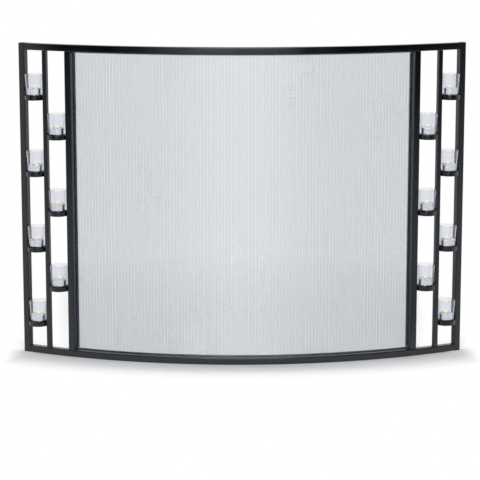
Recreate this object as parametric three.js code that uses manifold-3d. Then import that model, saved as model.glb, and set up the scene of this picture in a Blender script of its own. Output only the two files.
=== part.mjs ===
// A bowed fireplace screen with a column of wire mesh between two candle panels.
// Millimetres, +Z up. The bow faces -Y, and the origin is on the floor under the middle of the
// screen's box. Angles are measured at the axis of the bow, from the middle of the screen.

import * as THREE from 'three';
import { mergeVertices } from 'three/addons/utils/BufferGeometryUtils.js';
import Module from 'manifold-3d';

const wasm = await Module();
wasm.setup();

// ---------------------------------------------------------------- driving dimensions

// The whole frame
const width = 1168;             // across the front corners of the end posts, before they are rounded
const height = 826;
const bow = 149;                // how far the middle stands in front of the ends
const weldGap = 0.3;            // left between pieces that are welded or clamped together

// Square tube of the two rails and the four posts
const tube = 18;
const tubeWall = 1.5;
const tubeCorner = 2;

// Lighter square tube between the two columns of candles
const slimBar = 12;
const slimWall = 1.2;
const slimCorner = 1.5;

// Caps in the open ends of the end posts
const capPlate = 2;
const capPlug = 8;
const capPlay = 0.3;            // between the plug and the inside of the tube

// Tealight: an aluminium cup of wax with a wick
const tealightDiameter = 38;
const tealightHeight = 18;
const tealightWall = 0.5;
const waxBelowRim = 2;
const wickDiameter = 2;
const wickLength = 5;

// Tapered glass that stands in a holder and keeps one tealight
const glassHeight = 65.5;
const glassFloor = 10;
const glassWall = 1.8;
const glassFlare = 4.5;         // how much wider in radius the rim is than the foot
const tealightPlay = 0.9;       // between the tealight and the glass, at the glass's floor
const seatGap = 0.3;            // under a glass in its pan, and under a tealight in its glass
const rimClearance = 1;         // between the rim and the bars beside it

// Round steel pan welded between two bars
const holderHeight = 12;
const holderWall = 2;
const holderFloor = 1.5;
const glassPlay = 3.25;         // between the glass's foot and the pan's wall
const holderCount = 7;          // on each side, in turn in the outer and the inner column
const holderClearance = 58;     // from the bottom rail up to the lowest pan
const glassHeadroom = 62;       // from the highest rim up to the top rail

// Wire mesh, here a plain grid of bars that is about as open as the fine weave
const meshThickness = 1;
const meshLap = 6;              // how far the mesh reaches behind the tubes
const meshColumns = 9;          // openings of the grid from side to side
const meshRows = 8;
const meshBar = 18;             // between two openings

// Flat strips that clamp the mesh behind the tubes with self-tapping screws
const stripWidth = 18;
const stripThickness = 3;
const stripProud = 4;           // how far the strips show past the tubes
const screwHole = 4;            // drilled through a strip and the back wall of its tube
const cutReach = 3;             // how far a cut runs past what it goes through
const screwsPerRail = 7;
const screwsPerPost = 4;

// Fineness of the round shapes
const bowSteps = 30;
const stepsPerColumn = 2;       // a fold in the middle of each bar and of each opening of the mesh
const roundSides = 20;
const tealightSides = 16;
const screwSides = 8;

// ---------------------------------------------------------------- the bow and its stations

const { asin, cos, sin } = Math;
const frontRadius = ((width / 2) ** 2 + bow ** 2) / (2 * bow);
const endPostAngle = asin(width / 2 / frontRadius) - asin(tube / 2 / frontRadius);

// The screen reaches back to the rounded corner of an end post
const cornerRadius = frontRadius - tube + tubeCorner;
const backCorner = cornerRadius * cos(endPostAngle) - (tube / 2 - tubeCorner) * sin(endPostAngle);
const overallDepth = frontRadius - backCorner + tubeCorner;
const bowAxisY = frontRadius - overallDepth / 2;

// The tealight sets the size of the glass, the glass that of the pan, and the pan the gap of the bars
const glassInnerRadius = tealightDiameter / 2 + tealightPlay;
const footRadius = glassInnerRadius + glassWall - glassFlare * glassFloor / glassHeight;
const rimRadius = footRadius + glassFlare;
const holderInnerRadius = footRadius + glassPlay;
const holderRadius = holderInnerRadius + holderWall;
const halfGap = Math.max(holderRadius + weldGap, rimRadius + rimClearance);

const holderDepth = slimBar / 2;
const pastTube = asin((tube / 2 + halfGap) / (frontRadius - holderDepth));
const pastSlimBar = asin((slimBar / 2 + halfGap) / (frontRadius - holderDepth));
const outerHolderAngle = endPostAngle - pastTube;
const slimBarAngle = outerHolderAngle - pastSlimBar;
const innerHolderAngle = slimBarAngle - pastSlimBar;
const innerPostAngle = innerHolderAngle - pastTube;

// A group on the front of the bow: its X runs along the bow, its Y to the back, its Z up
function station(angle) {
  const group = new THREE.Group();
  group.position.set(frontRadius * sin(angle), bowAxisY - frontRadius * cos(angle), 0);
  group.rotation.z = angle;
  group.updateMatrix();
  return group;
}

// The front edge of the bow, from one angle to the same angle on the other side
class BowPath extends THREE.Curve {
  constructor(reach) {
    super();
    this.reach = reach;
  }

  angleAt(t) {
    return THREE.MathUtils.lerp(-this.reach, this.reach, t);
  }

  getPoint(t, target = new THREE.Vector3()) {
    const angle = this.angleAt(t);
    return target.set(frontRadius * sin(angle), bowAxisY - frontRadius * cos(angle), 0);
  }

  getTangent(t, target = new THREE.Vector3()) {
    const angle = this.angleAt(t);
    return target.set(cos(angle), sin(angle), 0);
  }
}

// ---------------------------------------------------------------- shapes

function rectangle(left, low, right, high, corner = 0) {
  const shape = new THREE.Shape();
  if (corner === 0) {
    shape.moveTo(left, low).lineTo(right, low).lineTo(right, high).lineTo(left, high);
    return shape;
  }
  shape.absarc(right - corner, low + corner, corner, -Math.PI / 2, 0);
  shape.absarc(right - corner, high - corner, corner, 0, Math.PI / 2);
  shape.absarc(left + corner, high - corner, corner, Math.PI / 2, Math.PI);
  shape.absarc(left + corner, low + corner, corner, Math.PI, Math.PI * 3 / 2);
  return shape;
}

function tubeSection(left, low, size, wall, corner) {
  const section = rectangle(left, low, left + size, low + size, corner);
  section.holes.push(rectangle(left + wall, low + wall, left + size - wall, low + size - wall));
  return section;
}

// A straight bar from one height to another
function upright(section, from, to) {
  const options = { depth: to - from, bevelEnabled: false, curveSegments: 1 };
  return new THREE.ExtrudeGeometry(section, options).translate(0, 0, from);
}

// A bar bent to the bow. On the section, X runs down and Y to the back.
function bent(section, reach, steps) {
  const extrudePath = new BowPath(reach);
  return new THREE.ExtrudeGeometry(section, { steps, extrudePath, curveSegments: 1 });
}

// A profile of radius and height, turned about the Z axis
function turned(profile, sides) {
  const points = profile.map(([radius, z]) => new THREE.Vector2(radius, z));
  return new THREE.LatheGeometry(points, sides).rotateX(Math.PI / 2);
}

// ---------------------------------------------------------------- joins and cuts

function toSolid(geometry) {
  const bare = geometry.clone();
  bare.deleteAttribute('normal');
  bare.deleteAttribute('uv');
  const merged = mergeVertices(bare);
  const vertProperties = new Float32Array(merged.attributes.position.array);
  const triVerts = new Uint32Array(merged.index.array);
  return new wasm.Manifold(new wasm.Mesh({ numProp: 3, vertProperties, triVerts }));
}

function toGeometry(solid) {
  const { vertProperties, triVerts } = solid.getMesh();
  const geometry = new THREE.BufferGeometry();
  geometry.setAttribute('position', new THREE.BufferAttribute(vertProperties, 3));
  geometry.setIndex(new THREE.BufferAttribute(triVerts, 1));
  geometry.computeVertexNormals();
  return geometry;
}

function join(first, second) {
  return toGeometry(toSolid(first).add(toSolid(second)));
}

function cut(geometry, bits) {
  return toGeometry(bits.reduce((solid, bit) => solid.subtract(toSolid(bit)), toSolid(geometry)));
}

// ---------------------------------------------------------------- screw holes

const meshFront = tube + weldGap;
const stripFront = meshFront + meshThickness + weldGap;
const stripBack = stripFront + stripThickness;

// Each hole is on the middle line of a tube, at an angle on a rail or a height on a post
const railAngles = Array.from({ length: screwsPerRail }, (_, index) =>
  THREE.MathUtils.lerp(-innerPostAngle, innerPostAngle, index / (screwsPerRail - 1)));
const postHeights = Array.from({ length: screwsPerPost }, (_, index) =>
  THREE.MathUtils.lerp(tube, height - tube, (index + 1) / (screwsPerPost + 1)));

// A drill bit along Y, from inside the tube to behind the strip
function drillBit() {
  const front = tube - tubeWall - cutReach;
  const back = stripBack + cutReach;
  const bit = new THREE.CylinderGeometry(screwHole / 2, screwHole / 2, back - front, screwSides);
  return bit.translate(0, (front + back) / 2, 0);
}

function railBits(z) {
  return railAngles.map((angle) => drillBit().translate(0, 0, z).applyMatrix4(station(angle).matrix));
}

function postBits() {
  return postHeights.map((z) => drillBit().translate(0, 0, z));
}

// ---------------------------------------------------------------- materials

const finishes = {
  paintedSteel: { color: 0x2b2c2f, roughness: 0.5, metalness: 0.3 },
  blackPlastic: { color: 0x242527, roughness: 0.6, metalness: 0 },
  wireMesh: { color: 0xc6cad0, roughness: 0.45, metalness: 0.7 },
  clearGlass: { color: 0xe8eef2, roughness: 0.05, metalness: 0, transparent: true, opacity: 0.4 },
  candle: { color: 0xe6e7ea, roughness: 0.5, metalness: 0.1 },
};

const screen = new THREE.Group();

function place(parent, name, geometry, finish) {
  const mesh = new THREE.Mesh(geometry, new THREE.MeshStandardMaterial(finishes[finish]));
  mesh.name = name;
  parent.add(mesh);
  return mesh;
}

// ---------------------------------------------------------------- rails, posts and bars

const railReach = endPostAngle - asin((tube / 2 + weldGap) / (frontRadius - tube));
const middleHeights = { bottom: tube / 2, top: height - tube / 2 };

for (const [level, z] of Object.entries(middleHeights)) {
  const section = tubeSection(-z - tube / 2, 0, tube, tubeWall, tubeCorner);
  place(screen, `${level}_rail`, cut(bent(section, railReach, bowSteps), railBits(z)), 'paintedSteel');
}

const postSection = tubeSection(-tube / 2, 0, tube, tubeWall, tubeCorner);
const slimSection = tubeSection(-slimBar / 2, 0, slimBar, slimWall, slimCorner);
const betweenRails = [tube + weldGap, height - tube - weldGap];

function endCap() {
  const plate = rectangle(-tube / 2, 0, tube / 2, tube, tubeCorner);
  const inset = tubeWall + capPlay;
  const plug = rectangle(-tube / 2 + inset, inset, tube / 2 - inset, tube - inset);
  return join(upright(plate, 0, capPlate), upright(plug, capPlate / 2, capPlate + capPlug));
}

for (const [side, sign] of [['left', -1], ['right', 1]]) {
  const end = station(sign * endPostAngle);
  const capTop = capPlate + weldGap;
  place(end, `end_post_${side}`, upright(postSection, capTop, height - capTop), 'paintedSteel');
  place(end, `end_cap_bottom_${side}`, endCap(), 'blackPlastic');
  const topCap = endCap().translate(0, -tube / 2, 0).rotateX(Math.PI).translate(0, tube / 2, height);
  place(end, `end_cap_top_${side}`, topCap, 'blackPlastic');

  const slim = station(sign * slimBarAngle);
  place(slim, `slim_bar_${side}`, upright(slimSection, ...betweenRails), 'paintedSteel');

  const inner = station(sign * innerPostAngle);
  const innerPost = cut(upright(postSection, ...betweenRails), postBits());
  place(inner, `inner_post_${side}`, innerPost, 'paintedSteel');

  screen.add(end, slim, inner);
}

// ---------------------------------------------------------------- mesh and retaining strips

const meshReach = innerPostAngle - asin((tube / 2 - meshLap) / (frontRadius - tube));
const meshSteps = meshColumns * stepsPerColumn;
const meshLow = tube - meshLap;
const meshHigh = height - meshLow;
const meshSection = rectangle(-meshHigh, meshFront, -meshLow, meshFront + meshThickness);

// Cutters of the grid's openings, one to a cell, with half a bar left round each
function gridCutters() {
  const columnAngle = 2 * meshReach / meshColumns;
  const rowHeight = (meshHigh - meshLow) / meshRows;
  const openWidth = columnAngle * (frontRadius - meshFront) - meshBar;
  const openHeight = rowHeight - meshBar;
  const cutters = [];
  for (let column = 0; column < meshColumns; column += 1) {
    const cell = station((column + 0.5) * columnAngle - meshReach);
    for (let row = 0; row < meshRows; row += 1) {
      const cutter = new THREE.BoxGeometry(openWidth, meshThickness + 2 * cutReach, openHeight);
      cutter.translate(0, meshFront + meshThickness / 2, meshLow + (row + 0.5) * rowHeight);
      cutters.push(cutter.applyMatrix4(cell.matrix));
    }
  }
  return cutters;
}

place(screen, 'wire_mesh', cut(bent(meshSection, meshReach, meshSteps), gridCutters()), 'wireMesh');

const stripOverlap = stripWidth - stripProud;
const stripReach = innerPostAngle + asin((stripOverlap - tube / 2) / (frontRadius - stripFront));
const stripLows = { bottom: tube - stripOverlap, top: height - tube - stripProud };

for (const [level, low] of Object.entries(stripLows)) {
  const section = rectangle(-low - stripWidth, stripFront, -low, stripBack);
  const strip = cut(bent(section, stripReach, meshSteps), railBits(middleHeights[level]));
  place(screen, `retaining_strip_${level}`, strip, 'paintedSteel');
}

for (const [side, sign] of [['left', -1], ['right', 1]]) {
  const inner = station(sign * innerPostAngle);
  const proudEdge = -sign * (tube / 2 + stripProud);
  const farEdge = proudEdge + sign * stripWidth;
  const [left, right] = [Math.min(proudEdge, farEdge), Math.max(proudEdge, farEdge)];
  const section = rectangle(left, stripFront, right, stripBack);
  const betweenStrips = [tube + stripProud + weldGap, height - tube - stripProud - weldGap];
  const strip = cut(upright(section, ...betweenStrips), postBits());
  place(inner, `retaining_strip_${side}`, strip, 'paintedSteel');
  screen.add(inner);
}

// ---------------------------------------------------------------- candles

function holder() {
  return turned([
    [0, 0], [holderRadius, 0], [holderRadius, holderHeight], [holderInnerRadius, holderHeight],
    [holderInnerRadius, holderFloor], [0, holderFloor],
  ], roundSides);
}

function glass() {
  const edge = glassWall / 4;
  return turned([
    [0, 0], [footRadius - edge, 0], [footRadius, edge], [rimRadius, glassHeight],
    [rimRadius - glassWall, glassHeight], [glassInnerRadius, glassFloor], [0, glassFloor],
  ], roundSides);
}

// The cup, its wax and the wick are one bought-in piece
function tealight() {
  const radius = tealightDiameter / 2;
  const waxTop = tealightHeight - waxBelowRim;
  const wick = wickDiameter / 2;
  return turned([
    [0, 0], [radius, 0], [radius, tealightHeight], [radius - tealightWall, tealightHeight],
    [radius - tealightWall, waxTop], [wick, waxTop], [wick, waxTop + wickLength], [0, waxTop + wickLength],
  ], tealightSides);
}

const lowestHolder = tube + holderClearance;
const highestHolder = height - tube - glassHeadroom - glassHeight - seatGap - holderFloor;
const holderStep = (highestHolder - lowestHolder) / (holderCount - 1);

for (const [side, sign] of [['left', -1], ['right', 1]]) {
  for (let number = 1; number <= holderCount; number += 1) {
    const inOuterColumn = number % 2 === 1;
    const angle = sign * (inOuterColumn ? outerHolderAngle : innerHolderAngle);
    const spot = new THREE.Group();
    const radius = frontRadius - holderDepth;
    const z = lowestHolder + (number - 1) * holderStep;
    spot.position.set(radius * sin(angle), bowAxisY - radius * cos(angle), z);
    place(spot, `candle_holder_${side}_${number}`, holder(), 'paintedSteel');
    const glassBase = holderFloor + seatGap;
    place(spot, `glass_cup_${side}_${number}`, glass().translate(0, 0, glassBase), 'clearGlass');
    const tealightBase = glassBase + glassFloor + seatGap;
    place(spot, `tealight_${side}_${number}`, tealight().translate(0, 0, tealightBase), 'candle');
    screen.add(spot);
  }
}

export default screen;
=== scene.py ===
"""A bowed fireplace screen: black steel frame, woven wire mesh and two panels of tealights.

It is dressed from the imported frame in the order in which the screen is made: tubes, mesh, strips and
screws, pans, glasses, tealights. Sizes are metres, +Z is up, and the bow faces -Y.
"""

from math import asin, atan2, ceil, cos, hypot, pi, radians, sin

import bpy
from mathutils import Matrix, Vector


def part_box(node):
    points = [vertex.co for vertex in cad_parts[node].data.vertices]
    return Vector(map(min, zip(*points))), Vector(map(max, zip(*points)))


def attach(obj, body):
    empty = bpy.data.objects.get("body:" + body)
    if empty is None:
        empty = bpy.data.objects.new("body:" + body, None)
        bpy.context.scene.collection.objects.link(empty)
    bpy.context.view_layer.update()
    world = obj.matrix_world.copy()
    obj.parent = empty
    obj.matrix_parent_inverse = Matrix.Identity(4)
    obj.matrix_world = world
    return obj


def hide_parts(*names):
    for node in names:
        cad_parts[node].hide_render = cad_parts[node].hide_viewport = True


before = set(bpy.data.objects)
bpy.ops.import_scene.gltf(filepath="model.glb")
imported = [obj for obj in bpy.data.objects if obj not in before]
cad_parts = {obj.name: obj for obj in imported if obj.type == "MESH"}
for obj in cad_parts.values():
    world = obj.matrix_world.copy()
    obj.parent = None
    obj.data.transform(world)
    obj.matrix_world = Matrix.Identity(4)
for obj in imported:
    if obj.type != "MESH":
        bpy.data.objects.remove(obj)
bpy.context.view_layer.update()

# ---------------------------------------------------------------- rails
# Two lengths of 18 mm square steel tube, rolled to the bow of the screen and cut square, so that
# their ends butt against the end posts. Each is a rounded section swept along the tube's middle line.

paint_slot = "frame_paint"
tube_corner = 0.0023
corner_points = 4
rail_steps = 160


def middle(part):
    """The centre of a CAD piece's box."""
    low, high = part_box(part)
    return (low + high) / 2


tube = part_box("top_rail")[1].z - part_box("top_rail")[0].z
far_post, near_post = middle("end_post_right"), middle("inner_post_right")
# The axis of the bow lies behind the screen, as far from an end post as from an inner post.
bow_axis = (far_post.xy.length_squared - near_post.xy.length_squared) / 2 / (far_post.y - near_post.y)
front_radius = hypot(near_post.x, bow_axis - near_post.y) + tube / 2


def spot(angle, depth, height):
    """A place at an angle round the bow, so far behind its front and so high."""
    radius = front_radius - depth
    return Vector((radius * sin(angle), bow_axis - radius * cos(angle), height))


def station(angle):
    """Turns and moves a shape to the front of the bow: X along it, Y to the back, Z up."""
    return Matrix.Translation(spot(angle, 0, 0)) @ Matrix.Rotation(angle, 4, "Z")


def angle_of(part):
    """How far round the bow a CAD piece stands."""
    centre = middle(part)
    return atan2(centre.x, bow_axis - centre.y)


def node(tree, kind, inputs=None, **properties):
    """A new node. Each input takes a value or the output that feeds it."""
    made = tree.nodes.new(kind)
    for name, value in properties.items():
        setattr(made, name, value)
    for name, value in (inputs or {}).items():
        if isinstance(value, bpy.types.NodeSocket):
            tree.links.new(value, made.inputs[name])
        else:
            made.inputs[name].default_value = value
    return made


def math(tree, operation, first, second=0.0, third=0.0):
    """The result of one sum on values or outputs."""
    return node(tree, "ShaderNodeMath", {0: first, 1: second, 2: third},
                operation=operation).outputs[0]


def shape_tree(name, sockets):
    """An empty geometry tree with a geometry in and out, and its named inputs."""
    tree = bpy.data.node_groups.new(name, "GeometryNodeTree")
    tree.interface.new_socket("Geometry", in_out="INPUT", socket_type="NodeSocketGeometry")
    for socket, kind in sockets.items():
        tree.interface.new_socket(socket, in_out="INPUT", socket_type=f"NodeSocket{kind}")
    tree.interface.new_socket("Geometry", in_out="OUTPUT", socket_type="NodeSocketGeometry")
    return tree, node(tree, "NodeGroupInput").outputs


def close_tree(tree, geometry, finish):
    """Ends a tree: its instances made real, and its finish put on."""
    real = node(tree, "GeometryNodeRealizeInstances", {"Geometry": geometry}).outputs[0]
    done = node(tree, "GeometryNodeSetMaterial", {"Geometry": real, "Material": finish}).outputs[0]
    node(tree, "NodeGroupOutput", {"Geometry": done})


def mesh_object(name, vertices, edges=(), faces=()):
    """A new piece from plain points, edges and faces."""
    mesh = bpy.data.meshes.new(name)
    mesh.from_pydata([tuple(v) for v in vertices], edges, faces)
    piece = bpy.data.objects.new(name, mesh)
    bpy.context.collection.objects.link(piece)
    return piece


def settle(piece):
    """Turns a piece and its modifiers into one plain mesh."""
    bpy.context.view_layer.update()
    evaluated = piece.evaluated_get(bpy.context.evaluated_depsgraph_get())
    mesh = bpy.data.meshes.new_from_object(evaluated)
    piece.modifiers.clear()
    piece.data = mesh
    return piece


def grow(piece, tree, **values):
    """Runs a geometry tree on a piece, each named value going to the socket of that name."""
    modifier = piece.modifiers.new("shape", "NODES")
    modifier.node_group = tree
    for socket in tree.interface.items_tree:
        if socket.in_out == "INPUT" and socket.name in values:
            modifier[socket.identifier] = values[socket.name]
    return settle(piece)


def smooth(piece, sharp=radians(40)):
    """Smooth shading with flat faces kept flat, and edges past an angle kept sharp."""
    piece.data.shade_smooth()
    piece.data.set_sharp_from_angle(angle=sharp)
    even = piece.modifiers.new("even", "WEIGHTED_NORMAL")
    even.keep_sharp = True
    return settle(piece)


def fix(piece, body, slot, *nodes):
    """The piece rides on a body and stands for these CAD nodes, which are hidden; the slot is not
    used.
    """
    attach(piece, body)
    if nodes:
        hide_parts(*nodes)
    return piece


grain_share = 0.35              # how strongly the grain shows in the colour, beside the clouds
shade_range = (0.3, 0.7)        # the shades between which the roughness runs


def grain_group():
    """Fine grain and broad cloudiness, as colour, roughness and height over a surface."""
    tree = bpy.data.node_groups.new("Fine grain", "ShaderNodeTree")
    for socket, kind in {"Light": "Color", "Dark": "Color", "Grain Size": "Float",
                         "Cloud Size": "Float", "Smoothest": "Float", "Roughest": "Float"}.items():
        tree.interface.new_socket(socket, in_out="INPUT", socket_type=f"NodeSocket{kind}")
    for socket, kind in {"Color": "Color", "Roughness": "Float", "Height": "Float"}.items():
        tree.interface.new_socket(socket, in_out="OUTPUT", socket_type=f"NodeSocket{kind}")
    given = node(tree, "NodeGroupInput").outputs
    place = node(tree, "ShaderNodeTexCoord").outputs["Object"]
    grain, cloud = (
        node(tree, "ShaderNodeTexNoise", {
            "Vector": place, "Detail": detail,
            "Scale": math(tree, "DIVIDE", 1.0, given[size])}).outputs[0]
        for size, detail in (("Grain Size", 3.0), ("Cloud Size", 4.0)))
    shade = math(tree, "ADD", cloud, math(tree, "MULTIPLY_ADD", grain, grain_share, -grain_share / 2))
    colour = node(tree, "ShaderNodeMix", {"Factor": shade, "A": given["Dark"], "B": given["Light"]},
                  data_type="RGBA").outputs["Result"]
    roughness = node(tree, "ShaderNodeMapRange", {
        "Value": shade, "From Min": shade_range[0], "From Max": shade_range[1],
        "To Min": given["Smoothest"], "To Max": given["Roughest"]}).outputs[0]
    node(tree, "NodeGroupOutput", {"Color": colour, "Roughness": roughness, "Height": grain})
    return tree


fine_grain = grain_group()


def finish(name, dark, light, grain, cloud, roughness, bump, **constants):
    """A grained material. Colours are linear, sizes are metres, and constants go on the shader."""
    material = bpy.data.materials.new(name)
    material.use_nodes = True
    tree = material.node_tree
    shader = tree.nodes["Principled BSDF"]
    look = node(tree, "ShaderNodeGroup", node_tree=fine_grain)
    values = {"Light": (*light, 1), "Dark": (*dark, 1), "Grain Size": grain, "Cloud Size": cloud,
              "Smoothest": roughness[0], "Roughest": roughness[1]}
    for socket, value in values.items():
        look.inputs[socket].default_value = value
    raised = node(tree, "ShaderNodeBump", {"Height": look.outputs["Height"], "Distance": bump})
    tree.links.new(look.outputs["Color"], shader.inputs["Base Color"])
    tree.links.new(look.outputs["Roughness"], shader.inputs["Roughness"])
    tree.links.new(raised.outputs[0], shader.inputs["Normal"])
    for socket, value in constants.items():
        shader.inputs[socket.replace("_", " ")].default_value = value
    return material


black_paint = finish(
    "satin black paint", dark=(0.0015, 0.0015, 0.002), light=(0.004, 0.004, 0.005),
    grain=0.0009, cloud=0.06, roughness=(0.16, 0.24), bump=0.00002,
    Specular_IOR_Level=0.57, Specular_Tint=(0.86, 0.92, 1.0, 1))


def bar_tree():
    """A rounded bar swept along a line. Its section is Breadth by Thickness."""
    tree, given = shape_tree("Swept bar", {
        "Breadth": "Float", "Thickness": "Float", "Corner": "Float", "Finish": "Material"})
    line = node(tree, "GeometryNodeMeshToCurve", {"Mesh": given["Geometry"]}).outputs[0]
    upright = node(tree, "GeometryNodeSetCurveNormal", {"Curve": line}, mode="Z_UP").outputs[0]
    section = node(tree, "GeometryNodeCurvePrimitiveQuadrilateral", {
        "Width": given["Breadth"], "Height": given["Thickness"]}, mode="RECTANGLE").outputs[0]
    rounded = node(tree, "GeometryNodeFilletCurve", {
        "Curve": section, "Count": corner_points, "Radius": given["Corner"]}, mode="POLY").outputs[0]
    bar = node(tree, "GeometryNodeCurveToMesh", {
        "Curve": upright, "Profile Curve": rounded, "Fill Caps": True}).outputs[0]
    close_tree(tree, bar, given["Finish"])
    return tree


swept_bar = bar_tree()


def bar(name, path, breadth, thickness, corner, material):
    """A rounded bar along the places of a path."""
    line = mesh_object(name, path, edges=[(i, i + 1) for i in range(len(path) - 1)])
    grow(line, swept_bar, Breadth=breadth, Thickness=thickness, Corner=corner, Finish=material)
    return line


def bow_path(reach, depth, height):
    """Places along the bow from one side to the other."""
    return [spot(reach * (2 * i / rail_steps - 1), depth, height) for i in range(rail_steps + 1)]


for name in ("top_rail", "bottom_rail"):
    reach = asin(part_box(name)[1].x / front_radius)
    rail = bar(name.replace("rail", "tube"), bow_path(reach, tube / 2, middle(name).z),
               tube, tube, tube_corner, black_paint)
    fix(smooth(rail), "frame", paint_slot, name)

# ---------------------------------------------------------------- posts and slim bars
# The end and inner posts are the same square tube as the rails, and a lighter 12 mm tube stands
# between the two columns of candles. All stand square to the bow, flush with the front of the rails.

slim_corner = 0.0015
slim_bar = 0.012


def upright(name, size, corner):
    """A square tube on end, where the CAD piece of that name stands."""
    low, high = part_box(name)
    path = [Vector((0, size / 2, low.z)), Vector((0, size / 2, high.z))]
    post = bar(f"{name}_tube", path, size, size, corner, black_paint)
    post.data.transform(station(angle_of(name)))
    return smooth(post)


for side in ("left", "right"):
    for name, size, corner in ((f"end_post_{side}", tube, tube_corner),
                               (f"inner_post_{side}", tube, tube_corner),
                               (f"slim_bar_{side}", slim_bar, slim_corner)):
        fix(upright(name, size, corner), "frame", paint_slot, name)

# ---------------------------------------------------------------- end plugs
# A black nylon plug closes each open end of the two end posts. Its plate is a shade softer at the
# edges than the tube, and at the floor it is the foot that the screen stands on.

plug_plate = 0.002              # thickness of the plate that shows
plug_edge = 0.0006
plug_edge_steps = 3
square_edge = radians(60)       # only edges at least as sharp as this are softened
black_nylon = finish(
    "black nylon", dark=(0.012, 0.012, 0.013), light=(0.02, 0.02, 0.021),
    grain=0.0004, cloud=0.02, roughness=(0.5, 0.62), bump=0.00001)

for side in ("left", "right"):
    for level in ("top", "bottom"):
        name = f"end_cap_{level}_{side}"
        low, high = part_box(name)
        outside = high.z if level == "top" else low.z
        inside = outside - plug_plate if level == "top" else outside + plug_plate
        path = [Vector((0, tube / 2, z)) for z in sorted((inside, outside))]
        plug = bar(f"end_plug_{level}_{side}", path, tube, tube, tube_corner, black_nylon)
        plug.data.transform(station(angle_of(name)))
        soft = plug.modifiers.new("soft edge", "BEVEL")
        soft.width, soft.segments = plug_edge, plug_edge_steps
        soft.limit_method, soft.angle_limit = "ANGLE", square_edge
        fix(smooth(settle(plug)), "frame", "end_plugs", name)

# ---------------------------------------------------------------- wire mesh
# Bare steel spark mesh in plain weave, 2.2 mm from wire to wire, bowed with the screen. The upright
# wires stay straight, and the level wires pass in front of one and behind the next.

mesh_slot = "mesh_wire"
mesh_pitch = 0.0022
wire = 0.00055                  # diameter
level_wire_sides = 3
upright_wire_sides = 6
mesh_bands = 6                  # the level wires are made in so many pieces, one above the other
wire_facets = radians(75)       # an upright wire's sides meet at less than this, and shade as one
reed_wires = 4                  # the loom's reed gathers the upright wires in groups of so many,
reed_squeeze = 0.08             # each wire this share of a pitch nearer to the next in its group
column_stray = 0.08             # how far a wire may be out of place, in pitches
row_stray = 0.08
column_seed, row_seed = 11, 12  # which wires those are
even_width = 1.235              # a three-sided wire this much fatter looks as wide as a round one
wire_steel = finish(
    "bare steel wire", dark=(0.325, 0.385, 0.45), light=(0.38, 0.45, 0.525),
    grain=0.002, cloud=0.2, roughness=(0.24, 0.36), bump=0.00001, Metallic=1.0)


def round_bow(tree, given, angle, radius, height):
    """Turns an angle, a radius and a height into a place on the bow."""
    along = math(tree, "MULTIPLY", radius, math(tree, "SINE", angle))
    out = math(tree, "MULTIPLY", radius, math(tree, "COSINE", angle))
    back = math(tree, "SUBTRACT", given["Bow Axis"], out)
    return node(tree, "ShaderNodeCombineXYZ", {"X": along, "Y": back, "Z": height}).outputs[0]


def drawn(tree, inputs):
    """A random number, drawn anew for each wire or screw."""
    draw = node(tree, "FunctionNodeRandomValue", inputs, data_type="FLOAT")
    return next(socket for socket in draw.outputs if socket.enabled)


def stray(tree, number, share, seed):
    """How far out of place a wire is, in pitches: the same wherever it has the same number."""
    by = drawn(tree, {"ID": number, "Seed": seed})
    return math(tree, "MULTIPLY", math(tree, "SUBTRACT", by, 0.5), 2 * share)


def crossing_angle(tree, given, column):
    """The angle at which the level wires cross an upright wire, counted from the left."""
    first = math(tree, "MULTIPLY", math(tree, "SUBTRACT", given["Columns"], 1.0), -0.5)
    number = math(tree, "ROUND", column)
    in_group = math(tree, "MODULO", number, float(reed_wires))
    from_centre = math(tree, "SUBTRACT", in_group, (reed_wires - 1) / 2)
    drawn_in = math(tree, "SUBTRACT", first, math(tree, "MULTIPLY", from_centre, reed_squeeze))
    off = math(tree, "ADD", drawn_in, stray(tree, number, column_stray, column_seed))
    return math(tree, "MULTIPLY", math(tree, "ADD", column, off), given["Angle Step"])


weave_sockets = {
    "Columns": "Int", "Rows": "Int", "First Row": "Int", "Angle Step": "Float", "Pitch": "Float",
    "Wire": "Float", "Radius": "Float", "Bow Axis": "Float", "Low": "Float", "High": "Float",
    "Finish": "Material"}


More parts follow.
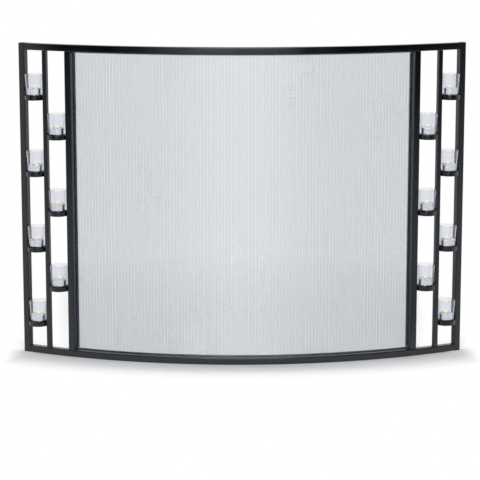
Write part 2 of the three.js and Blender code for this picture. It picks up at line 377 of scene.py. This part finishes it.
def level_wires_tree():
    """Rows of wires, each stepping in front of and behind the upright wires by one wire's width.

    They start as a grid of unit steps, whose X and Z are the numbers of the column and the row.
    """
    tree, given = shape_tree("Level wires", weave_sockets)
    row = node(tree, "GeometryNodeMeshLine", {
        "Count": given["Columns"], "Offset": (1, 0, 0)}).outputs[0]
    stack = node(tree, "GeometryNodeMeshLine", {
        "Count": given["Rows"], "Offset": (0, 0, 1)}).outputs[0]
    rows = node(tree, "GeometryNodeInstanceOnPoints", {"Points": stack, "Instance": row}).outputs[0]
    grid = node(tree, "GeometryNodeRealizeInstances", {"Geometry": rows}).outputs[0]
    place = node(tree, "GeometryNodeInputPosition").outputs[0]
    count = node(tree, "ShaderNodeSeparateXYZ", {0: place}).outputs
    row_number = math(tree, "ADD", count["Z"], given["First Row"])
    crossing = math(tree, "ROUND", math(tree, "ADD", count["X"], row_number))
    turn = math(tree, "MULTIPLY_ADD", math(tree, "MODULO", crossing, 2.0), 2.0, -1.0)
    offset = math(tree, "MULTIPLY", turn, given["Wire"])
    angle = crossing_angle(tree, given, count["X"])
    out_of_line = stray(tree, math(tree, "ROUND", row_number), row_stray, row_seed)
    off_row = math(tree, "ADD", row_number, out_of_line)
    height = math(tree, "ADD", given["Low"], math(tree, "MULTIPLY", off_row, given["Pitch"]))
    place = round_bow(tree, given, angle, math(tree, "ADD", given["Radius"], offset), height)
    woven = node(tree, "GeometryNodeSetPosition", {"Geometry": grid, "Position": place}).outputs[0]
    lines = node(tree, "GeometryNodeMeshToCurve", {"Mesh": woven}).outputs[0]
    width = math(tree, "MULTIPLY", given["Wire"], even_width / 2)
    section = node(tree, "GeometryNodeCurvePrimitiveCircle", {
        "Resolution": level_wire_sides, "Radius": width}, mode="RADIUS").outputs[0]
    wires = node(tree, "GeometryNodeCurveToMesh", {
        "Curve": lines, "Profile Curve": section, "Fill Caps": True}).outputs[0]
    soft = node(tree, "GeometryNodeSetShadeSmooth", {"Geometry": wires}).outputs[0]
    close_tree(tree, soft, given["Finish"])
    return tree


def upright_wires_tree():
    """Straight wires side by side round the bow."""
    tree, given = shape_tree("Upright wires", weave_sockets)
    line = node(tree, "GeometryNodeMeshLine", {
        "Count": given["Columns"], "Offset": (0, 0, 0)}).outputs[0]
    column = node(tree, "GeometryNodeInputIndex").outputs[0]
    half = math(tree, "MULTIPLY", math(tree, "ADD", given["Low"], given["High"]), 0.5)
    place = round_bow(tree, given, crossing_angle(tree, given, column), given["Radius"], half)
    points = node(tree, "GeometryNodeSetPosition", {"Geometry": line, "Position": place}).outputs[0]
    tall = math(tree, "SUBTRACT", given["High"], given["Low"])
    straight = node(tree, "GeometryNodeMeshCylinder", {
        "Vertices": upright_wire_sides, "Radius": math(tree, "MULTIPLY", given["Wire"], 0.5),
        "Depth": tall}).outputs["Mesh"]
    wires = node(tree, "GeometryNodeInstanceOnPoints", {
        "Points": points, "Instance": straight}).outputs[0]
    close_tree(tree, wires, given["Finish"])
    return tree


def behind_front(name):
    """How far behind the front of the bow a CAD piece starts."""
    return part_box(name)[0].y - (bow_axis - front_radius)


low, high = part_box("wire_mesh")
mesh_radius = front_radius - behind_front("wire_mesh") - wire
mesh_reach = asin(high.x / mesh_radius)
angle_step = mesh_pitch / mesh_radius
columns = int(2 * mesh_reach / angle_step)
rows = int((high.z - low.z) / mesh_pitch)
rows_in_band = ceil(rows / mesh_bands)
weave = {
    "Columns": columns, "Angle Step": angle_step, "Pitch": mesh_pitch, "Wire": wire,
    "Radius": mesh_radius, "Bow Axis": bow_axis, "Low": low.z + mesh_pitch / 2, "High": high.z,
    "Finish": wire_steel}

upright_wires = mesh_object("mesh_upright_wires", [(0, 0, 0)])
grow(upright_wires, upright_wires_tree(), **{**weave, "Low": low.z})
fix(smooth(upright_wires, wire_facets), "frame", mesh_slot, "wire_mesh")

level_wires = level_wires_tree()
for band in range(mesh_bands):
    first = band * rows_in_band
    piece = mesh_object(f"mesh_level_wires_{band + 1}", [(0, 0, 0)])
    grow(piece, level_wires, **{**weave, "First Row": first, "Rows": min(rows_in_band, rows - first)})
    fix(piece, "frame", mesh_slot, "wire_mesh")

# ---------------------------------------------------------------- retaining strips
# Four flat steel strips press the edges of the mesh against the backs of the tubes. The upper and
# lower ones are rolled to the bow, the side ones are straight and stand between them.

strip_width = 0.018
strip_thickness = 0.003
strip_edge = 0.0005
strip_tuck = 0.0014             # how much less of the lower one shows past its rail
strip_front = behind_front("retaining_strip_bottom")

for level in ("top", "bottom"):
    name = f"retaining_strip_{level}"
    reach = asin(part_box(name)[1].x / (front_radius - strip_front))
    tuck = strip_tuck if level == "bottom" else 0
    path = bow_path(reach, strip_front + strip_thickness / 2, middle(name).z - tuck / 2)
    strip = bar(f"strip_{level}", path, strip_thickness, strip_width - tuck, strip_edge, black_paint)
    fix(smooth(strip), "frame", paint_slot, name)

for side in ("left", "right"):
    name = f"retaining_strip_{side}"
    low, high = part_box(name)
    post_angle = angle_of(f"inner_post_{side}")
    centre = station(post_angle).inverted() @ middle(name)
    path = [Vector((centre.x, strip_front + strip_thickness / 2, z)) for z in (low.z, high.z)]
    strip = bar(f"strip_{side}", path, strip_width, strip_thickness, strip_edge, black_paint)
    strip.data.transform(station(post_angle))
    fix(smooth(strip), "frame", paint_slot, name)

# ---------------------------------------------------------------- screws
# Black pan-head screws hold the strips from behind: seven along each rail and four up each inner
# post. Each head is turned, and has a cross recess for the driver.

screw_head = 0.0036             # radius
screw_rise = 0.0022
screw_shoulder = 0.55           # below 1 fills out the shoulder of the head
screw_edges = radians(35)
dome_steps = 7
head_sides = 24
recess_arm, recess_width, recess_depth = 0.0021, 0.0011, 0.0013
screws_per_rail = 7
screws_per_post = 4
screw_seed = 4
screw_steel = finish(
    "black screw steel", dark=(0.012, 0.012, 0.013), light=(0.03, 0.03, 0.032),
    grain=0.0005, cloud=0.01, roughness=(0.28, 0.4), bump=0.00001, Metallic=0.6)


def turned(name, outline, sides):
    """A shape turned about Z from (radius, height) points that start and end on the axis."""
    rings = outline[1:-1]
    vertices = [(0, 0, outline[0][1])]
    for radius, height in rings:
        for i in range(sides):
            turn = 2 * pi * i / sides
            vertices.append((radius * cos(turn), radius * sin(turn), height))
    vertices.append((0, 0, outline[-1][1]))
    last = len(vertices) - 1
    faces = []
    for i in range(sides):
        j = (i + 1) % sides
        faces.append((0, 1 + j, 1 + i))
        for ring in range(len(rings) - 1):
            low, high = 1 + ring * sides, 1 + (ring + 1) * sides
            faces.append((low + i, low + j, high + j, high + i))
        faces.append((last, last - sides + i, last - sides + j))
    return mesh_object(name, vertices, faces=faces)


def dome(radius, rise):
    """The outline of a shallow dome with a rounded shoulder, up to its last step."""
    turns = [pi / 2 * i / dome_steps for i in range(dome_steps)]
    return [(radius * cos(turn) ** screw_shoulder, rise * sin(turn)) for turn in turns]


head = turned("screw_head", [(0, 0), *dome(screw_head, screw_rise), (0, screw_rise)], head_sides)
# The recess is a cross of two square bars, cut out of the head.
arms = []
for length, width in ((recess_arm, recess_width / 2), (recess_width / 2, recess_arm)):
    corners = [(x, y, z) for z in (screw_rise - recess_depth, screw_rise * 2)
               for x, y in ((-length, -width), (length, -width), (length, width), (-length, width))]
    arms.append(mesh_object("recess_arm", corners, faces=[
        (3, 2, 1, 0), (4, 5, 6, 7), (0, 1, 5, 4), (1, 2, 6, 5), (2, 3, 7, 6), (3, 0, 4, 7)]))
for arm in arms:
    cut = head.modifiers.new("recess", "BOOLEAN")
    cut.operation, cut.solver, cut.object = "DIFFERENCE", "EXACT", arm
settle(head)
for arm in arms:
    bpy.data.objects.remove(arm)
smooth(head, screw_edges)


def screws_tree():
    """A head on each point, facing out from the back of the bow, turned at random on its axis."""
    tree, given = shape_tree("Screws", {
        "Head": "Object", "Bow Axis": "Float", "Seed": "Int", "Finish": "Material"})
    head_shape = node(tree, "GeometryNodeObjectInfo", {"Object": given["Head"]}).outputs["Geometry"]
    place = node(tree, "GeometryNodeInputPosition").outputs[0]
    parts = node(tree, "ShaderNodeSeparateXYZ", {0: place}).outputs
    back = math(tree, "SUBTRACT", given["Bow Axis"], parts["Y"])
    bearing = math(tree, "ARCTAN2", parts["X"], back)
    facing = node(tree, "ShaderNodeCombineXYZ", {"X": -pi / 2, "Z": bearing}).outputs[0]
    turn = drawn(tree, {"Max": pi, "Seed": given["Seed"]})
    spin = node(tree, "ShaderNodeCombineXYZ", {"Z": turn}).outputs[0]
    aimed = node(tree, "FunctionNodeRotateRotation", {"Rotation": facing, "Rotate By": spin},
                 rotation_space="LOCAL").outputs[0]
    heads = node(tree, "GeometryNodeInstanceOnPoints", {
        "Points": given["Geometry"], "Instance": head_shape, "Rotation": aimed}).outputs[0]
    close_tree(tree, heads, given["Finish"])
    return tree


strip_back = strip_front + strip_thickness
rail_top, rail_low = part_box("top_rail")[0].z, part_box("bottom_rail")[1].z
post_angle = angle_of("inner_post_right")
places = []
for name in ("top_rail", "bottom_rail"):
    for i in range(screws_per_rail):
        angle = post_angle * (2 * i / (screws_per_rail - 1) - 1)
        places.append(spot(angle, strip_back, middle(name).z))
for angle in (-post_angle, post_angle):
    for i in range(screws_per_post):
        height = rail_low + (rail_top - rail_low) * (i + 1) / (screws_per_post + 1)
        places.append(station(angle) @ Vector((0, strip_back, height)))
screws = mesh_object("strip_screws", places)
grow(screws, screws_tree(), **{
    "Head": head, "Bow Axis": bow_axis, "Seed": screw_seed, "Finish": screw_steel})
bpy.data.objects.remove(head)
fix(screws, "frame", paint_slot)

# ---------------------------------------------------------------- candle pans
# Fourteen shallow round steel pans, welded between two bars and painted with the frame. The wall is
# 2 mm thick with its edges eased, and the floor is thinner.

candles_per_side = 7
pan_wall = 0.002
pan_floor = 0.0015
pan_ease = 0.0006
pan_sides = 72
easing_steps = 3


def eased(corner, before, after, radius):
    """The points of one rounded corner of an outline, on the way from one point to the next."""
    start = corner.lerp(before, radius / (before - corner).length)
    end = corner.lerp(after, radius / (after - corner).length)
    shares = [i / easing_steps for i in range(easing_steps + 1)]
    return [start.lerp(corner, share).lerp(corner.lerp(end, share), share) for share in shares]


def outline(*points):
    """An outline from (radius, height) or (radius, height, easing) points."""
    bare = [Vector(p[:2]) for p in points]
    result = []
    for i, point in enumerate(points):
        if len(point) == 3:
            result += eased(bare[i], bare[i - 1], bare[i + 1], point[2])
        else:
            result.append(bare[i])
    return [tuple(p) for p in result]


def spread(pattern, kind, name, slot, body=None, replace=True):
    """A copy of the pattern on the foot of each CAD piece of a kind, riding on its body."""
    places = [f"_{side}_{i + 1}" for side in ("left", "right") for i in range(candles_per_side)]
    for place in places:
        part = kind + place
        foot = middle(part)
        foot.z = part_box(part)[0].z
        copy = bpy.data.objects.new(name + place, pattern.data.copy())
        bpy.context.collection.objects.link(copy)
        copy.data.transform(Matrix.Translation(foot))
        fix(copy, body + place if body else "frame", slot, *([part] if replace else []))
    bpy.data.objects.remove(pattern)


low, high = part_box("candle_holder_left_1")
pan_radius, pan_height = (high.x - low.x) / 2, high.z - low.z
pan_inside = pan_radius - pan_wall
pan = turned("pan", outline(
    (0, 0), (pan_radius, 0, pan_ease), (pan_radius, pan_height, pan_ease),
    (pan_inside, pan_height, pan_ease), (pan_inside, pan_floor, pan_ease), (0, pan_floor)), pan_sides)
pan.data.materials.append(black_paint)
spread(smooth(pan), "candle_holder", "pan", paint_slot)

# ---------------------------------------------------------------- glasses
# Each glass is a clear tapered tumbler with a heavy foot and a fire-polished rim, pressed in one
# piece. It stands loose in its pan.

glass_wall = 0.0018
glass_floor = 0.010
glass_flare = 0.0045            # how much wider the rim is than the foot, on each side
hollow_rise = 0.0006            # the hollow under the foot, at its middle
foot_ease = 0.0014
rim_ease = 0.0008
floor_ease = 0.003
floor_dip = 0.0002
glass_waves = 90.0              # how many faint waves the surface has in a metre,
glass_wave_depth = 0.00002      # and how deep they are
glass_sides = 96
glass_edges = radians(60)


def glass_finish():
    """Clear pressed glass, faintly uneven from the mould."""
    material = bpy.data.materials.new("clear glass")
    material.use_nodes = True
    tree = material.node_tree
    shader = tree.nodes["Principled BSDF"]
    for socket, value in {"Transmission Weight": 1.0, "Roughness": 0.0, "IOR": 1.47,
                          "Base Color": (0.85, 0.86, 0.89, 1)}.items():
        shader.inputs[socket].default_value = value
    place = node(tree, "ShaderNodeTexCoord").outputs["Object"]
    waves = node(tree, "ShaderNodeTexNoise", {
        "Vector": place, "Scale": glass_waves, "Detail": 1.0}).outputs[0]
    uneven = node(tree, "ShaderNodeBump", {"Height": waves, "Distance": glass_wave_depth}).outputs[0]
    tree.links.new(uneven, shader.inputs["Normal"])
    return material


low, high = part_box("glass_cup_left_1")
rim_radius, glass_height = (high.x - low.x) / 2, high.z - low.z
foot_radius = rim_radius - glass_flare
inside_floor = foot_radius + glass_flare * glass_floor / glass_height - glass_wall
glass = turned("glass", outline(
    (0, hollow_rise), (foot_radius * 0.7, hollow_rise * 2 / 3), (foot_radius * 0.85, 0),
    (foot_radius, 0, foot_ease), (rim_radius, glass_height, rim_ease),
    (rim_radius - glass_wall, glass_height, rim_ease), (inside_floor, glass_floor, floor_ease),
    (inside_floor * 0.5, glass_floor), (0, glass_floor - floor_dip)), glass_sides)
glass.data.materials.append(glass_finish())
spread(smooth(glass, glass_edges), "glass_cup", "glass", "clear_glass", body="glass")

# ---------------------------------------------------------------- tealights
# A tealight is a spun aluminium cup with a rolled rim, filled with white wax round a cotton wick.
# The wax has melted to a shallow pool about the wick, which is charred at its tip and alight.

tealight_slot = "tealight_wax"
tealight_sides = 64
tealight_edges = radians(50)
aluminium = finish(
    "spun aluminium", dark=(0.80, 0.82, 0.86), light=(0.90, 0.91, 0.94),
    grain=0.0006, cloud=0.008, roughness=(0.22, 0.36), bump=0.00002, Metallic=1.0)
wax = finish(
    "white wax", dark=(0.86, 0.87, 0.89), light=(0.93, 0.93, 0.93),
    grain=0.0012, cloud=0.01, roughness=(0.28, 0.45), bump=0.00004,
    Subsurface_Weight=0.35, Subsurface_Scale=0.003)

low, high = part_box("tealight_left_1")
cup_radius = (high.x - low.x) / 2
cup_height = 0.018
cup_recess = 0.0004             # how far the middle of the cup's foot is pressed up
cup_side = 0.0006               # how far the side stands in from the rim, at the foot
cup_inside = cup_radius - 0.0011
rim_roll = 0.0014               # height of the rolled rim
roll_ease = 0.0004
wax_top = 0.0158
under_wax = wax_top - 0.0015    # where the cup is closed off, out of sight

cup = turned("cup", outline(
    (0, cup_recess), (cup_radius * 0.72, cup_recess), (cup_radius * 0.78, 0),
    (cup_radius - cup_side, 0, 0.0009), (cup_radius - 0.0004, cup_height - 0.0022),
    (cup_radius, cup_height - rim_roll, 0.0003), (cup_radius, cup_height, roll_ease),
    (cup_inside, cup_height, roll_ease), (cup_inside, cup_height - 0.0016),
    (cup_inside, under_wax), (0, under_wax)), tealight_sides)
cup.data.materials.append(aluminium)
spread(smooth(cup, tealight_edges), "tealight", "tealight_cup", tealight_slot, body="tealight")

wax_radius = cup_radius - 0.0013
wax_foot = wax_top - 0.0012
pool = wax_top - 0.0006         # the melted pool, with a low mound of wax at the wick
mound = wax_top - 0.0003
body_of_wax = turned("wax", outline(
    (0, wax_foot), (wax_radius, wax_foot), (wax_radius, wax_top + 0.0004),
    (wax_radius - 0.0012, wax_top, 0.0005), (wax_radius * 0.72, wax_top - 0.0001, 0.001),
    (wax_radius * 0.6, pool, 0.001), (0.0016, pool), (0.001, mound), (0, mound)), tealight_sides)
body_of_wax.data.materials.append(wax)
spread(smooth(body_of_wax, tealight_edges), "tealight", "tealight_wax", tealight_slot,
       body="tealight", replace=False)


def rising(piece):
    """Stores on each point how far up the piece it lies, from 0 to 1."""
    heights = [vertex.co.z for vertex in piece.data.vertices]
    share = piece.data.attributes.new("rise", "FLOAT", "POINT")
    for i, height in enumerate(heights):
        share.data[i].value = (height - min(heights)) / (max(heights) - min(heights))


def ramp_by_rise(tree, stops):
    """Colours that follow one another up a piece, from (how far up, colour) stops."""
    rise = node(tree, "ShaderNodeAttribute", attribute_name="rise").outputs["Fac"]
    ramp = node(tree, "ShaderNodeValToRGB", {"Fac": rise})
    elements = ramp.color_ramp.elements
    while len(elements) < len(stops):
        elements.new(0.5)
    for element, (position, colour) in zip(elements, stops):
        element.position = position
        element.color = (*colour, 1)
    return ramp.outputs["Color"]


def wick_finish():
    """Cotton, waxed white at its foot and charred towards its tip."""
    material = bpy.data.materials.new("charred wick")
    material.use_nodes = True
    tree = material.node_tree
    shader = tree.nodes["Principled BSDF"]
    shader.inputs["Roughness"].default_value = 0.9
    colour = ramp_by_rise(tree, [
        (0.25, (0.75, 0.7, 0.6)), (0.5, (0.05, 0.035, 0.025)), (1, (0.01, 0.01, 0.01))])
    tree.links.new(colour, shader.inputs["Base Color"])
    return material


wick_radius = 0.0008
wick_low, wick_top = 0.014, high.z - low.z - 0.0003
wick_height = wick_top - wick_low
wick_twists = 9                 # the plait swells and narrows so many times,
wick_swell = 0.12               # by this share of its radius
wick_lean = 0.0009              # how far the tip leans over
wick_sides = 12

plait = [(wick_radius * (1 + wick_swell * (-1) ** i),
          wick_low + wick_height * (i + 0.5) / wick_twists) for i in range(wick_twists)]
wick = turned("wick", [(0, wick_low), *plait, (0, wick_top)], wick_sides)
rising(wick)
for vertex in wick.data.vertices:
    up = (vertex.co.z - wick_low) / wick_height
    vertex.co.x += wick_lean * up * up
wick.data.materials.append(wick_finish())
wick.data.shade_smooth()
spread(wick, "tealight", "tealight_wick", tealight_slot, body="tealight", replace=False)

# ---------------------------------------------------------------- flames
# A small still flame stands round each wick, pale yellow and soft at its edges. It is the light of
# the candle and not a solid part, so nothing in the frame holds its place.

flame_height = 0.0142
flame_radius = 0.0078
flame_low = 0.0164
flame_belly = 0.8               # below 1 brings the widest place lower down
flame_taper = 0.2               # and this draws the upper part in
flame_steps = 14
flame_sides = 20
flame_foot, flame_yellow, flame_heart = (0.8, 0.84, 0.85), (1.0, 0.95, 0.66), (1.0, 0.98, 0.72)


def flame_finish():
    """Light that is fullest at the heart of the flame and thins towards its edges, foot and tip."""
    material = bpy.data.materials.new("candle flame")
    material.use_nodes = True
    tree = material.node_tree
    shader = tree.nodes["Principled BSDF"]
    glow = ramp_by_rise(tree, [
        (0, flame_foot), (0.22, flame_yellow), (0.55, flame_heart), (1, flame_yellow)])
    fullness = ramp_by_rise(tree, [
        (up, (full, full, full)) for up, full in ((0, 0.6), (0.3, 0.95), (0.7, 0.95), (1, 0.8))])
    edge = node(tree, "ShaderNodeLayerWeight", {"Blend": 0.5}).outputs["Facing"]
    soft = math(tree, "MULTIPLY", fullness, math(tree, "SUBTRACT", 1.0, edge))
    tree.links.new(glow, shader.inputs["Emission Color"])
    tree.links.new(soft, shader.inputs["Alpha"])
    for socket, value in {"Base Color": (0, 0, 0, 1), "Emission Strength": 1.0, "Roughness": 1.0,
                          "Specular IOR Level": 0.0}.items():
        shader.inputs[socket].default_value = value
    return material


def flame_outline():
    """A teardrop: full in its lower half and drawn in to its tip."""
    points = [(0, flame_low)]
    for i in range(1, flame_steps):
        up = i / flame_steps
        width = sin(pi * up ** flame_belly) * (1 - flame_taper * up)
        points.append((flame_radius * width, flame_low + flame_height * up))
    return [*points, (0, flame_low + flame_height)]


flame = turned("flame", flame_outline(), flame_sides)
rising(flame)
flame.data.materials.append(flame_finish())
flame.data.shade_smooth()
spread(flame, "tealight", "tealight_flame", tealight_slot, body="tealight", replace=False)

# ---------------------------------------------------------------- studio
# A white paper floor that keeps the screen's shadow, a white surround, a soft light overhead, a key
# light in front at the height of a shoulder, and a long lens at standing height.

floor_size = 30
floor_height = -0.0002
paper_white = 0.92
even_glow = 0.2                 # the even light of the surround on the screen
near_glow = 0.03                # what the lit paper gives out beside what it reflects
# What the steel mirrors: a window behind the lens, dim walls on both sides of it, and paper beyond.
# Each pair is a part of the Y of a bearing, or a distance, over which one changes into the next.
window_end = (-0.94, -0.88)
paper_start = (-0.57, -0.46)
window_glow = 0.9
dim_room = 0.012
dark_side = 0.2                 # how much further round the dim wall on the right reaches
floor_start = (-4.0, -0.3)      # the floor is as dim as the walls far in front, and bright nearer by
# Painted for reflections only: shade on the paper round the screen, and a highlight strip before the
# rail.
painted_shade_level = 0.45               # painted shade: how bright the floor round the screen shows in reflections
painted_shade_end = (0.1, 1.5)
painted_highlight_glow = 0.4                # painted highlight on the strip of paper just in front of the bottom rail,
painted_highlight_middle = 0.06             # which lies this far out from the bow
painted_highlight_end = (0.05, 0.09)
# Where the paper that keeps the shadow ends and plain white begins.
lit_in_front = (0.05, 0.14)     # outwards from the bow
lit_behind = (0.0, 1.3)         # backwards, along Y
lit_aside = (0.585, 0.625)      # past the end posts
panel_start = (0.44, 0.49)      # and behind the candles, from the inner post outwards
panel_depth = (-0.04, -0.12)
panel_slant = 0.12


def most(tree, *values):
    """The highest of some values."""
    result = values[0]
    for value in values[1:]:
        result = math(tree, "MAXIMUM", result, value)
    return result


def seen(tree, mirrored=1.0):
    """1 for what is seen directly or through glass, and so much for what a surface mirrors."""
    path = node(tree, "ShaderNodeLightPath").outputs
    glossy = math(tree, "MULTIPLY", path["Is Glossy Ray"], mirrored)
    return most(tree, path["Is Camera Ray"], path["Is Transmission Ray"], glossy)


def change(tree, value, span, before=0.0, after=1.0):
    """Goes from one level to another while the value goes over a span."""
    return node(tree, "ShaderNodeMapRange", {
        "Value": value, "From Min": span[0], "From Max": span[1],
        "To Min": before, "To Max": after}).outputs[0]


def room(tree, place):
    """How bright the room is in the direction of a place: window, dim walls or white paper."""
    level = node(tree, "ShaderNodeVectorMath", {0: place, 1: (1, 1, 0)},
                 operation="MULTIPLY").outputs[0]
    bearing = node(tree, "ShaderNodeVectorMath", {0: level}, operation="NORMALIZE").outputs[0]
    towards = node(tree, "ShaderNodeSeparateXYZ", {0: bearing}).outputs
    darker = math(tree, "MULTIPLY", math(tree, "MAXIMUM", towards["X"], 0.0), dark_side)
    window = change(tree, math(tree, "ADD", towards["Y"], darker), window_end, window_glow, dim_room)
    paper = change(tree, math(tree, "SUBTRACT", towards["Y"], darker), paper_start, dim_room)
    return most(tree, window, paper)


def floor_finish():
    """White paper: lit near the screen, so that it keeps a shadow, and plain white further off.
    In reflections it has painted shade round the screen and a painted highlight before the bottom
    rail.
    """
    material = bpy.data.materials.new("white floor")
    material.use_nodes = True
    tree = material.node_tree
    tree.nodes.clear()
    place = node(tree, "ShaderNodeTexCoord").outputs["Object"]
    parts = node(tree, "ShaderNodeSeparateXYZ", {0: place}).outputs
    from_axis = node(tree, "ShaderNodeVectorMath", {0: place, 1: (0, bow_axis, 0)},
                     operation="DISTANCE").outputs["Value"]
    ahead = math(tree, "SUBTRACT", from_axis, front_radius)
    aside = math(tree, "ABSOLUTE", parts["X"])
    panel_side = change(tree, math(tree, "MULTIPLY_ADD", ahead, panel_slant, aside), panel_start)
    in_panel = math(tree, "MULTIPLY", panel_side, change(tree, ahead, panel_depth))
    far = most(tree, change(tree, ahead, lit_in_front), change(tree, parts["Y"], lit_behind),
               change(tree, aside, lit_aside), in_panel)
    # Painted highlight: the strip of paper just in front of the bottom rail, picked out for
    # reflections.
    from_painted_highlight = math(tree, "ABSOLUTE", math(tree, "SUBTRACT", ahead, painted_highlight_middle))
    painted_highlight_mask = change(tree, from_painted_highlight, painted_highlight_end, 1.0, 0.0)
    off = most(tree, math(tree, "ABSOLUTE", ahead), parts["Y"])
    # Painted shade: in reflections the paper dims towards the screen, but not on the painted highlight
    # strip.
    mirrored = most(tree, change(tree, off, painted_shade_end, painted_shade_level), painted_highlight_mask)
    near = math(tree, "MULTIPLY", change(tree, parts["Y"], floor_start), mirrored)
    shown = seen(tree, most(tree, near, room(tree, place)))
    glossy = node(tree, "ShaderNodeLightPath").outputs["Is Glossy Ray"]
    # Painted shade: for reflections only, the paper's colour is darkened there.
    painted_shade = math(tree, "MULTIPLY", glossy, math(tree, "SUBTRACT", 1.0, mirrored))
    white = math(tree, "MULTIPLY", math(tree, "SUBTRACT", 1.0, painted_shade), paper_white)
    paper = node(tree, "ShaderNodeBsdfDiffuse", {"Color": white}).outputs[0]
    # Painted highlight: that strip glows for reflections only, so the rail's front face mirrors it
    # brighter.
    painted_highlight = math(tree, "MULTIPLY", math(tree, "MULTIPLY", glossy, painted_highlight_mask), painted_highlight_glow)
    raised = math(tree, "ADD", math(tree, "MULTIPLY", shown, near_glow), painted_highlight)
    lift = node(tree, "ShaderNodeEmission", {"Strength": raised}).outputs[0]
    lit = node(tree, "ShaderNodeAddShader", {0: paper, 1: lift}).outputs[0]
    plain = node(tree, "ShaderNodeEmission", {"Strength": shown}).outputs[0]
    both = node(tree, "ShaderNodeMixShader", {0: far, 1: lit, 2: plain}).outputs[0]
    node(tree, "ShaderNodeOutputMaterial", {"Surface": both})
    return material


half = floor_size / 2
corners = [(x, y, floor_height)
           for x, y in ((-half, -half), (half, -half), (half, half), (-half, half))]
floor = mesh_object("floor", corners, faces=[(0, 1, 2, 3)])
floor.data.materials.append(floor_finish())

world = bpy.data.worlds.new("white surround")
world.use_nodes = True
tree = world.node_tree
tree.nodes.clear()
white = (1, 1, 1, 1)
direction = node(tree, "ShaderNodeTexCoord").outputs["Generated"]
even_light = node(tree, "ShaderNodeBackground", {"Color": white, "Strength": even_glow}).outputs[0]
shown = node(tree, "ShaderNodeBackground", {
    "Color": white, "Strength": seen(tree, room(tree, direction))}).outputs[0]
surround = node(tree, "ShaderNodeMixShader", {0: seen(tree), 1: even_light, 2: shown}).outputs[0]
node(tree, "ShaderNodeOutputWorld", {"Surface": surround})
bpy.context.scene.world = world


def soft_light(name, place, target, width, height, power):
    """A wide lamp with even edges, aimed at a place. It returns the lamp as it hangs."""
    lamp = bpy.data.lights.new(name, "AREA")
    lamp.shape = "RECTANGLE"
    lamp.size, lamp.size_y = width, height
    lamp.energy = power
    holder = bpy.data.objects.new(name, lamp)
    holder.location = place
    holder.rotation_euler = (Vector(target) - Vector(place)).to_track_quat("-Z", "Y").to_euler()
    holder.visible_camera = False
    bpy.context.collection.objects.link(holder)
    return holder


overhead = soft_light("overhead", place=(0, 0.18, 2.8), target=(0, 0.17, 0),
                      width=3.0, height=0.3, power=56)
overhead.visible_glossy = False
soft_light("key", place=(0, -3.0, 1.6), target=(0, 0, 0.4), width=1.6, height=1.2, power=64)

lens = bpy.data.cameras.new("lens")
lens.lens = 135
lens.shift_y = -0.1
camera = bpy.data.objects.new("camera", lens)
camera.location = (-0.053, -4.618, 1.235)
camera.rotation_euler = (radians(80.26), 0, radians(-0.57))
bpy.context.collection.objects.link(camera)
bpy.context.scene.camera = camera
bpy.context.scene.view_settings.view_transform = "Standard"
